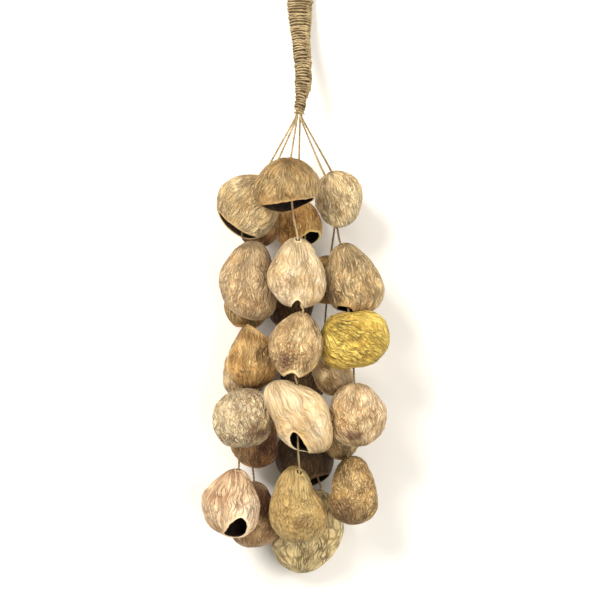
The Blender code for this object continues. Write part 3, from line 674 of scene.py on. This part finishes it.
class StageSettings(bpy.types.PropertyGroup):
    camera_height: FloatProperty(
        name="Camera height", description="Height of the camera above the table", default=6.0, unit="LENGTH")
    middle_height: FloatProperty(
        name="Middle height", description="Height at which the photo's scale holds", default=0.055,
        unit="LENGTH")
    floor_code: hex_code("Floor", "Colour of the table", "#F1F0ED")
    key: FloatProperty(name="Key", description="Power of the main light, in watts", default=48.0)
    fill: FloatProperty(name="Fill", description="Power of the filling light, in watts", default=26.0)
    sky: FloatProperty(name="Sky", description="Strength of the even light", default=0.46)


class RATTLE_OT_shells(bpy.types.Operator):
    """Makes every seed shell, its cracked outside and its inside, painted dark as shade"""

    bl_idname = "rattle.shells"
    bl_label = "Seed shells"

    def execute(self, context):
        settings = context.scene.rattle_shells
        coats = {key: seed_coat(coat, key, settings) for key, coat in COATS.items()}
        inside = hollow_inside(settings)
        for number, (shell, look) in enumerate(zip(SHELLS, LOOKS)):
            make_shell(shell, look, coats, inside, settings, 100 * number)
        return {"FINISHED"}


def make_shell(shell, look, coats, inside, settings, seed):
    """One hollow shell: its outside, a round lip at the mouth, its inside and the string's hole."""
    share = 1.0 if shell in FINELY_MADE else 0.5
    segments, rings = round(settings.segments * share), round(settings.rings * share)
    shares = np.linspace(0, 1, rings)
    ways = ring_ways(shell, segments, shares, settings.ragged)
    form = surface(shell, ways)
    relief, painted_shade, stain, places = coat_relief(shell, look, ways, form, seed, settings.lump_height)
    edge = smoothstep(shares, 1.0, 0.93)[:, None] * smoothstep(shares, 0.0, 0.03)[:, None]
    outer = form + ways * (settings.crack_depth * relief * edge)[..., None]
    inner_shares = np.linspace(1, 0, INNER_RINGS)
    wall = settings.lip + (WALL - settings.lip) * smoothstep(1 - inner_shares, 0, 0.25)
    inner_ways = ring_ways(shell, segments, inner_shares, settings.ragged)
    inner = surface(shell, inner_ways) - inner_ways * wall[:, None, None]
    # One more ring between the outer and the inner edge, pushed out a little, makes the lip round
    edge_line = np.roll(outer[-1], -1, axis=0) - np.roll(outer[-1], 1, axis=0)
    lip = (outer[-1] + inner[0]) / 2 + unit(np.cross(outer[-1] - inner[0], edge_line)) * LIP_BULGE
    points = np.concatenate([outer, lip[None], inner]).reshape(-1, 3) + middle_of(shell)
    points[:, 2] = np.clip(points[:, 2], 0, None)
    total = rings + 1 + len(inner_shares)
    faces = grid_faces(total, segments, closed=True)
    slots = (np.arange(len(faces)) // segments >= rings).astype(int)
    pad = (total - rings) * segments
    patchy = 0.75 + 0.35 * waves(form, seed + 12, length=14.0)
    # Each shell's lightness: partly its own tone, partly painted light and shade for where it lies in the
    # bunch
    attributes = {"light": np.full((total * segments, 3), look.light)}
    # What only the outside has, and the lip and the inside do without
    # The crack, line and wrinkle values carry the painted shade and highlights of the relief
    for key, values in (("crack", painted_shade * edge), ("lines", look.lines[0] * patchy * edge),
                        ("wrinkles", look.lines[1] * patchy * edge), ("stain", stain), ("grain", places)):
        values = values.reshape(rings * segments, *values.shape[2:])
        attributes[key] = np.concatenate([values, np.zeros((pad, *values.shape[1:]))])
    add_piece("seed_" + shell.name, points, faces, [coats[look.coat], inside],
              shell.name, attributes, slots)


def smooth_line(points, steps):
    """A Catmull-Rom curve through the points, with so many steps to each stretch."""
    p = np.array([2 * points[0] - points[1], *points, 2 * points[-1] - points[-2]])
    out = []
    for a, b, c, d in zip(p[:-3], p[1:-2], p[2:-1], p[3:]):
        out.append(curve(a, b, c, d, (np.arange(steps) / steps)[:, None]))
    return np.concatenate([*out, [points[-1]]])


def distances(line):
    """How far along a line each of its points is."""
    return np.concatenate([[0], np.cumsum(np.linalg.norm(np.diff(line, axis=0), axis=1))])


def found_at(where, at, rows):
    """What the rows that belong to these distances give in other places."""
    return np.column_stack([np.interp(where, at, column) for column in rows.T])


def evenly(line, spacing):
    """Points along a line at about this spacing."""
    at = distances(line)
    return found_at(np.linspace(0, at[-1], max(round(at[-1] / spacing), 2) + 1), at, line)


def frames_along(line):
    """Two ways square to a line all along it, and to each other, that twist as little as they can."""
    along = unit(np.gradient(line, axis=0))
    side = np.cross(along[0], (0.2, 0.1, 1.0))
    sides = []
    for way in along:
        side = unit(side - (side @ way) * way)
        sides.append(side)
    sides = np.array(sides)
    return sides, np.cross(along, sides)


def twine(line, radius, lay, settings):
    """A two-ply twine along a line in mm: its points, its faces, how much painted shade lies between the
    plies, its grain.
    """
    line = evenly(line, settings.step)
    side, other = frames_along(line)
    run = np.arange(len(line)) * settings.step
    count = settings.sides
    turn = np.arange(count) * 2 * math.pi / count
    phase = turn[None] - math.pi * 2 * run[:, None] / lay
    lobes = np.cos(2 * phase)
    reach = radius * (0.92 + 0.24 * lobes)
    points = line[:, None] + reach[..., None] * (
        np.cos(turn)[None, :, None] * side[:, None] + np.sin(turn)[None, :, None] * other[:, None]
    )
    faces = [*grid_faces(len(line), count)[:, ::-1], np.arange(count),
             np.arange(count)[::-1] + (len(line) - 1) * count]
    # Painted shade in the groove between the two plies
    ply = 0.8 * smoothstep(-lobes, 0.1, 1.0).ravel()
    grain = np.stack([4 * np.cos(phase), 4 * np.sin(phase), 0.35 * run[:, None] + 0 * phase], -1)
    return points.reshape(-1, 3), faces, ply, grain.reshape(-1, 3)


def joined(parts):
    """Several (points, faces, ply, grain) as one."""
    starts = np.cumsum([0, *(len(part[0]) for part in parts)])
    faces = [np.asarray(face) + start for start, part in zip(starts, parts) for face in part[1]]
    points, ply, grain = (np.concatenate([part[at] for part in parts]) for at in (0, 2, 3))
    return points, faces, ply, grain


def neck_line():
    """The middle of the neck from the foot up, with its half-width and half-depth."""
    fine = smooth_line(np.array([(*at, wide, deep) for at, wide, deep in NECK], float), NECK_STEPS)
    return fine[:, :3], fine[:, 3:]


def neck_at(y):
    """The middle of the neck at this distance along Y."""
    line = neck_line()[0]
    x, z = found_at([y], line[:, 1], line[:, ::2])[0]
    return np.array([x, y, z])


def leg_stations(side):
    """Points up the middle of one leg of the loop, from the neck to the loop's top, and the ways outwards."""
    top = NECK[-1][0]
    points = []
    for x, y in LOOP:
        middle = neck_at(y) if y <= top[1] else np.array([top[0], y, LOOP_LIFT])
        points.append(middle + (side * x, 0, 0))
    line = smooth_line(np.array(points), 2)
    along = np.gradient(line, axis=0)
    along[-1] = (-side, 0, 0)
    return line, unit(np.cross(along, (0, 0, side)))


def cord_in_winding(cord, side):
    """A cord's points up one side of the winding, from below the foot to the loop's top."""
    line, outwards = leg_stations(side)
    out_neck, up_neck = cord.in_neck
    out_leg, up_leg = cord.in_leg
    foot, above = neck_at(NECK[0][0][1]), neck_at(NECK[1][0][1])
    down = unit(foot - above)
    points = [middle + (side * out_neck, 0, up_neck) for middle in
              [foot + down * OUTSIDE, *(neck_at(at[1]) for at, _, _ in NECK[:4])]]
    for middle, way in zip(line, outwards):
        share = smoothstep((middle[1] - LOOP[0][1]) / (NECK_BORE_TOP - LOOP[0][1]))
        in_neck = np.array([side * (out_neck - LOOP[0][0]), 0, up_neck])
        in_leg = way * out_leg + (0, 0, up_leg)
        points.append(middle + in_neck * (1 - share) + in_leg * share)
    return points


def through(shell, middle, opening):
    """Points on a string's way in by an opening of a shell: outside it, and well inside."""
    way = direction(*opening)
    skin = middle + surface(shell, way[None])[0]
    return [skin + way * OUTSIDE, skin - way * (WALL + KNOT_DEPTH)]


def in_mouth(shell, middle, target):
    """Where in its mouth a string leaves a shell: part of the way from the mouth's middle towards a point."""
    x, y, z = target - middle
    plan, lift, along, across, roll = shell.mouth
    turn = (math.degrees(math.atan2(y, x)) - plan + 180) % 360 - 180
    rise = math.degrees(math.atan2(z, math.hypot(x, y))) - lift
    c, s = math.cos(math.radians(roll)), math.sin(math.radians(roll))
    off = math.hypot((turn * c + rise * s) / along, (rise * c - turn * s) / across)
    share = min(1, LEAVING_SHARE / off)
    return middle + surface(shell, direction(plan + turn * share, lift + rise * share)[None])[0]


def string_route(string, middles, start):
    """The points of a string from its first shell to its last, and which of them are knots."""
    route, knots, came_from = [], [], start
    for shell, following in zip(string, [*string[1:], None]):
        middle = middles[shell.name]
        hole = through(shell, middle, shell.hole)
        if shell in UPSIDE_DOWN:
            below = hole[0] + direction(*shell.hole) * KNOT_HALF_LENGTH
            route += [in_mouth(shell, middle, came_from), hole[1], below]
        else:
            route += hole
        knots.append(len(route) - 1)
        if following and shell not in UPSIDE_DOWN:
            target = through(following, middles[following.name], following.hole)[0]
            route.append(in_mouth(shell, middle, target))
        came_from = route[-1]
    return route, knots


def rounded_route(route):
    """A string's route with its corners eased, and still through the same holes."""
    route = np.array(route)
    fine = [route[0]]
    for a, b in zip(route[:-1], route[1:]):
        fine += [a + (b - a) * share for share in (0.25, 0.5, 0.75, 1.0)]
    fine = np.array(fine)
    for _ in range(2):
        fine[1:-1] = (fine[:-2] + 2 * fine[1:-1] + fine[2:]) / 4
    return smooth_line(fine, 3)


def coiled_knot(middle, way, settings):
    """A knot of tight turns round a string."""
    way = unit(way)
    side = unit(np.cross(way, (0.3, 0.2, 0.9)))
    other = np.cross(way, side)
    t = np.linspace(-1, 1, 40)[:, None]
    a = t * KNOT_TURNS * math.pi
    reach = STRING_RADIUS * (1.9 - 0.5 * t * t)
    line = middle + way * t * KNOT_HALF_LENGTH * 0.8 + reach * (np.cos(a) * side + np.sin(a) * other)
    return twine(line, STRING_RADIUS, settings.lay, settings)


class RATTLE_OT_strings(bpy.types.Operator):
    """Makes the three cords, each doubled over in the loop, with their knots, where the solid cords run"""

    bl_idname = "rattle.strings"
    bl_label = "Strings"

    def execute(self, context):
        settings = context.scene.rattle_twine
        # The deepest colour is painted shade between the plies, and also tints the darker fibres
        material = plant_twine("two-ply plant fibre string", "#C6AE80", "#957B4E", "#4A3617")
        middles = {shell.name: middle_of(shell) for shell in SHELLS}
        for cord in CORDS:
            up, down = cord_in_winding(cord, -1), cord_in_winding(cord, 1)[-2::-1]
            left, left_knots = string_route(cord.left, middles, up[0])
            right, right_knots = string_route(cord.right, middles, down[-1])
            route = rounded_route([*left[::-1], *up, *down, *right])
            parts = [twine(route, STRING_RADIUS, settings.lay, settings)]
            for route, knots in ((left, left_knots), (right, right_knots)):
                for at in knots:
                    before, after = route[max(at - 1, 0)], route[min(at + 1, len(route) - 1)]
                    parts.append(coiled_knot(route[at], after - before, settings))
            points, faces, ply, grain = joined(parts)
            # The strings are darker at the sides, below the top shells
            soil = smoothstep(abs(points[:, 0]), 14, 24) * smoothstep(-points[:, 1], -62, -50)
            add_piece(cord.name.replace("cord", "string"), points, faces, [material],
                      cord.name, {"ply": ply, "grain": grain, "soil": soil})
        return {"FINISHED"}


def wound_turns(line, radii, settings, seed, hitched_from):
    """One twine wound turn by turn along a line, and the hitches that lock each turn from this far on."""
    at = distances(line)
    pitch, radius = settings.turn_pitch, settings.turn_radius
    turns = at[-1] / pitch
    a = np.arange(0, turns, 1 / TURN_POINTS)
    knots = np.arange(int(turns) + 2)
    rng = np.random.default_rng(seed)
    stray, lean, bulge, heel = (np.interp(a, knots, row) for row in rng.uniform(-1, 1, (4, len(knots))))
    turn = a * 2 * math.pi
    run = a * pitch + settings.turn_sway * (
        0.5 * stray + 0.7 * lean * np.cos(turn) + 0.9 * heel * np.sin(turn))
    wobbles = np.random.default_rng(seed + 50)
    finer = np.arange(0, turns + 1, 0.1)
    wobble, swell = (np.interp(a, finer, wobbles.uniform(-1, 1, len(finer))) for _ in range(2))
    run = np.clip(run + settings.turn_wobble * wobble, 0, at[-1])
    centre, wide = found_at(run, at, line), found_at(run, at, radii)
    along = unit(found_at(run, at, np.gradient(line, axis=0)))
    side = unit(np.cross(along, (0, 0, 1.0)))
    up = np.cross(side, along)
    reach = wide - radius + 0.4 * bulge[:, None] + 0.7 * settings.turn_wobble * swell[:, None]
    coil = centre + reach[:, :1] * np.cos(turn)[:, None] * side + reach[:, 1:] * np.sin(turn)[:, None] * up
    parts = [twine(coil, radius, settings.turn_lay, settings)]
    for k in range(math.ceil(hitched_from / pitch), int(turns) - 1):
        here = k * TURN_POINTS
        middle = 0.35 + 0.25 * rng.uniform(-1, 1)
        t = np.linspace(-1, 1, 7)
        b = middle + 0.5 * t
        lift = 0.2 + rng.uniform(0.6, 1.2) * (1 - t * t)
        shift = pitch * (0.6 * t + 0.45 * (1 - t * t) + 0.15 * rng.uniform(-1, 1))
        out = (reach[here] + lift[:, None]) * np.column_stack([np.cos(b), np.sin(b)])
        hitch = centre[here] + out[:, :1] * side[here] + out[:, 1:] * up[here] + shift[:, None] * along[here]
        parts.append(twine(smooth_line(hitch, 3), radius, settings.turn_lay, settings))
    return parts


def plain_core(line, radii, sides=10):
    """The bundle inside the winding, so that nothing shows through between the turns, painted dark as shade
    in the gaps.
    """
    along = unit(np.gradient(line, axis=0))
    across = unit(np.cross(along, (0, 0, 1.0)))
    up = np.cross(along, across)
    a = np.arange(sides)[None, :, None] * 2 * math.pi / sides
    wide, high = radii[:, 0, None, None], radii[:, 1, None, None]
    points = line[:, None] + wide * np.cos(a) * across[:, None] + high * np.sin(a) * up[:, None]
    faces = [*grid_faces(len(line), sides), np.arange(sides)[::-1],
             np.arange(sides) + (len(line) - 1) * sides]
    count = len(line) * sides
    return points.reshape(-1, 3), faces, np.full(count, CORE_SHADE), np.zeros((count, 3))


class RATTLE_OT_winding(bpy.types.Operator):
    """Makes the winding round the neck and the carrying loop, turn by turn"""

    bl_idname = "rattle.winding"
    bl_label = "Winding"

    def execute(self, context):
        settings = context.scene.rattle_twine
        material = plant_twine("two-ply plant fibre twine", settings.pale, settings.dark, settings.deep)
        neck, neck_radii = neck_line()
        right, left = leg_stations(1)[0], leg_stations(-1)[0]
        stations = np.array([*right, *left[-2::-1]])
        loop = smooth_line(stations, 4)[HIDDEN_IN_NECK:-HIDDEN_IN_NECK]
        loop_radii = np.full((len(loop), 2), LEG_RADIUS)
        parts = [
            *wound_turns(neck, neck_radii, settings, seed=3, hitched_from=13),
            *wound_turns(loop, loop_radii, settings, seed=4, hitched_from=0),
            plain_core(neck[CORE_START:], neck_radii[CORE_START:] - CORE_INSET),
            plain_core(loop, loop_radii - CORE_INSET),
        ]
        points, faces, ply, grain = joined(parts)
        points[:, 2] = np.clip(points[:, 2], 0, None)
        add_piece("wound_handle", points, faces, [material],
                  "winding", {"ply": ply, "grain": grain})
        return {"FINISHED"}


def add_light(name, place, size, power, colour):
    """A soft square light that faces the shells."""
    light = bpy.data.lights.new(name, "AREA")
    light.size = size
    light.energy = power
    light.color = srgb(colour)[:3]
    obj = add_object(name, light)
    obj.location = place
    obj.rotation_euler = (Vector((0, -0.06, 0.04)) - Vector(place)).to_track_quat("-Z", "Y").to_euler()


class RATTLE_OT_stage(bpy.types.Operator):
    """Sets up the camera above the table, the pale table and the soft studio light"""

    bl_idname = "rattle.stage"
    bl_label = "Stage"

    def execute(self, context):
        settings = context.scene.rattle_stage
        camera = bpy.data.cameras.new("camera")
        seen = PHOTO_PIXELS * MM_PER_PIXEL * MM
        camera.lens = camera.sensor_width * (settings.camera_height - settings.middle_height) / seen
        camera.clip_end = 20
        eye = add_object("camera", camera)
        eye.location = (-MIDDLE[0] * MM, -MIDDLE[1] * MM, settings.camera_height)
        context.scene.camera = eye
        half, low = 4.0, -0.1 * MM
        mesh = bpy.data.meshes.new("table")
        corners = [(-half, -half, low), (half, -half, low), (half, half, low), (-half, half, low)]
        mesh.from_pydata(corners, [], [(0, 1, 2, 3)])
        # Matt laminate is even and has no shine, so that only the bunch and its soft shadow draw the eye
        material, nodes, shader = new_material("matt laminate table", 0.6)
        node(nodes, shader, Base_Color=settings.floor_code)
        mesh.materials.append(material)
        add_object("table", mesh)
        add_light("key", (-0.9, 0.9, 1.5), 0.8, settings.key, "#FFF8EE")
        add_light("fill", (0.9, -0.4, 1.5), 1.4, settings.fill, "#FFF9F0")
        world = bpy.data.worlds.new("soft sky")
        world.use_nodes = True
        sky = world.node_tree
        node(sky, sky.nodes["Background"], Color="#FFFDF8", Strength=settings.sky)
        context.scene.world = world
        context.scene.view_settings.view_transform = "Standard"
        return {"FINISHED"}


class RATTLE_PT_panel(bpy.types.Panel):
    bl_idname = "RATTLE_PT_panel"
    bl_label = "Seed shell rattle"
    bl_space_type = "VIEW_3D"
    bl_region_type = "UI"
    bl_category = "Rattle"

    def draw(self, context):
        for group in (context.scene.rattle_stage, context.scene.rattle_shells, context.scene.rattle_twine):
            box = self.layout.box()
            for key in group.__annotations__:
                box.prop(group, key)
        for operator in ("rattle.stage", "rattle.strings", "rattle.winding", "rattle.shells"):
            self.layout.operator(operator)


CLASSES = [ShellSettings, TwineSettings, StageSettings, RATTLE_OT_shells, RATTLE_OT_strings,
           RATTLE_OT_winding, RATTLE_OT_stage, RATTLE_PT_panel]


def register():
    for made in CLASSES:
        bpy.utils.register_class(made)
    bpy.types.Scene.rattle_shells = PointerProperty(type=ShellSettings)
    bpy.types.Scene.rattle_twine = PointerProperty(type=TwineSettings)
    bpy.types.Scene.rattle_stage = PointerProperty(type=StageSettings)


def unregister():
    del bpy.types.Scene.rattle_shells, bpy.types.Scene.rattle_twine, bpy.types.Scene.rattle_stage
    for made in reversed(CLASSES):
        bpy.utils.unregister_class(made)


def main():
    register()
    bpy.ops.rattle.stage()
    bpy.ops.rattle.strings()
    bpy.ops.rattle.winding()
    bpy.ops.rattle.shells()
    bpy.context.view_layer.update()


if __name__ == "__main__":
    main()
